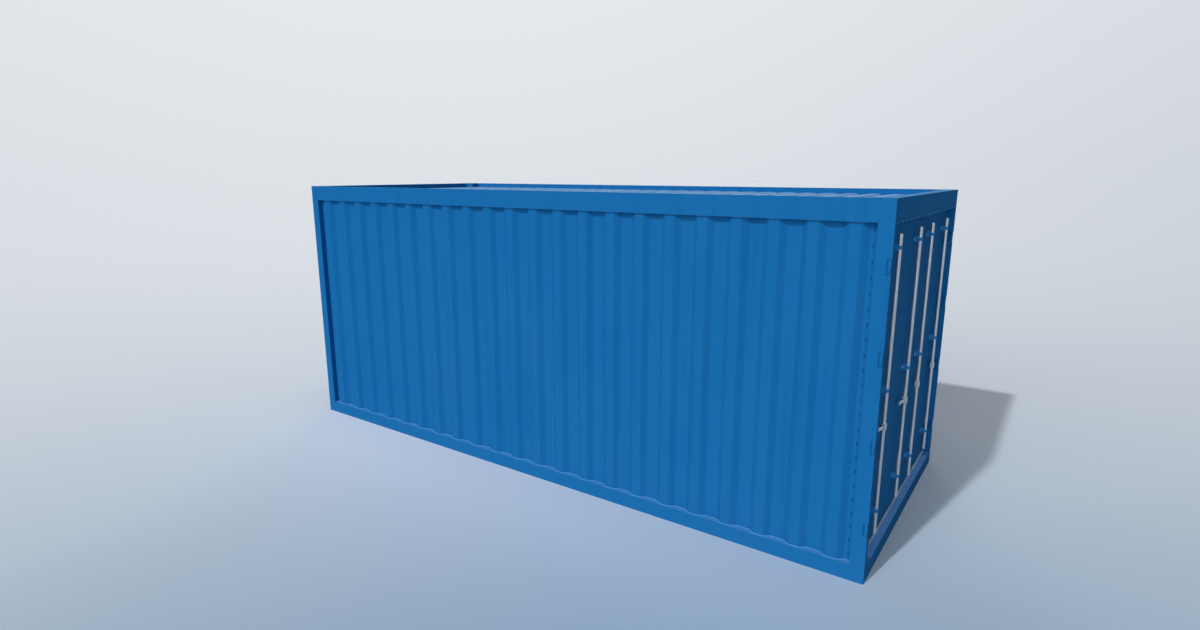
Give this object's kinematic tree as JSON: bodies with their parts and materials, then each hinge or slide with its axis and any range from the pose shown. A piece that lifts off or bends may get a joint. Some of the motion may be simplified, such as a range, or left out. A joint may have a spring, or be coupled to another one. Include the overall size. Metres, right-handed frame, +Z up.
{
  "type": "shipping container",
  "caption": "Steel shipping container with corrugated walls and roof, a recessed pair of hinged end doors, and lock rods with short handles.",
  "frame": {"origin": "centre of the footprint, on the ground", "axes": "+X to the door end, +Y to the right of someone facing the doors, +Z up"},
  "size_m": [6.058, 2.438, 2.591],
  "materials": {
    "blue_paint": "satin container paint on steel",
    "underside_paint": "matt paint with road dust",
    "galvanised_steel": "dull galvanised",
    "seal_rubber": "matt",
    "plywood": "worn sealed plywood"
  },
  "bodies": {
    "box": {"lower_block_door_left": "blue_paint", "lower_block_door_right": "blue_paint", "lower_block_front_left": "blue_paint", "lower_block_front_right": "blue_paint", "upper_block_door_left": "blue_paint", "upper_block_door_right": "blue_paint", "upper_block_front_left": "blue_paint", "upper_block_front_right": "blue_paint", "right_top_rail": "blue_paint", "left_top_rail": "blue_paint", "right_bottom_rail": "blue_paint", "left_bottom_rail": "blue_paint", "door_header": "blue_paint", "door_head_rail": "blue_paint", "door_sill": "blue_paint", "front_top_rail": "blue_paint", "front_bottom_rail": "blue_paint", "door_post_left": "blue_paint", "door_post_right": "blue_paint", "front_post_left": "blue_paint", "front_post_right": "blue_paint", "left_wall": "blue_paint", "right_wall": "blue_paint", "front_wall": "blue_paint", "roof": "blue_paint", "roof_end_plates": "blue_paint", "floor": "plywood", "cross_members": "underside_paint", "threshold": "galvanised_steel"},
    "left_door": {"left_door_frame": "blue_paint", "left_door_sheet": "blue_paint", "left_door_gasket": "seal_rubber", "left_door_hinges": "blue_paint", "left_rod_saddles": "blue_paint", "left_rod_clips": "blue_paint"},
    "left_inner_rod": {"left_inner_lock_rod": "galvanised_steel"},
    "left_outer_rod": {"left_outer_lock_rod": "galvanised_steel"},
    "right_door": {"right_door_frame": "blue_paint", "right_door_sheet": "blue_paint", "right_door_gasket": "seal_rubber", "right_door_hinges": "blue_paint", "right_rod_saddles": "blue_paint", "right_rod_clips": "blue_paint"},
    "right_inner_rod": {"right_inner_lock_rod": "galvanised_steel"},
    "right_outer_rod": {"right_outer_lock_rod": "galvanised_steel"}
  },
  "joints": [
    {"name": "left_door_hinge", "type": "hinge", "parent": "box", "child": "left_door", "pos_m": [3.015, -1.205, 1.28], "axis": [0, 0, -1], "range_deg": [0, 265]},
    {"name": "left_inner_rod_turn", "type": "hinge", "parent": "left_door", "child": "left_inner_rod", "pos_m": [3.007, -0.24, 1.042], "axis": [0, 0, 1], "range_deg": [0, 180]},
    {"name": "left_outer_rod_turn", "type": "hinge", "parent": "left_door", "child": "left_outer_rod", "pos_m": [3.007, -0.917, 1.042], "axis": [0, 0, 1], "range_deg": [0, 180]},
    {"name": "right_door_hinge", "type": "hinge", "parent": "box", "child": "right_door", "pos_m": [3.015, 1.205, 1.28], "axis": [0, 0, 1], "range_deg": [0, 265]},
    {"name": "right_inner_rod_turn", "type": "hinge", "parent": "right_door", "child": "right_inner_rod", "pos_m": [3.007, 0.24, 1.042], "axis": [0, 0, -1], "range_deg": [0, 180]},
    {"name": "right_outer_rod_turn", "type": "hinge", "parent": "right_door", "child": "right_outer_rod", "pos_m": [3.007, 0.917, 1.042], "axis": [0, 0, -1], "range_deg": [0, 180]}
  ]
}
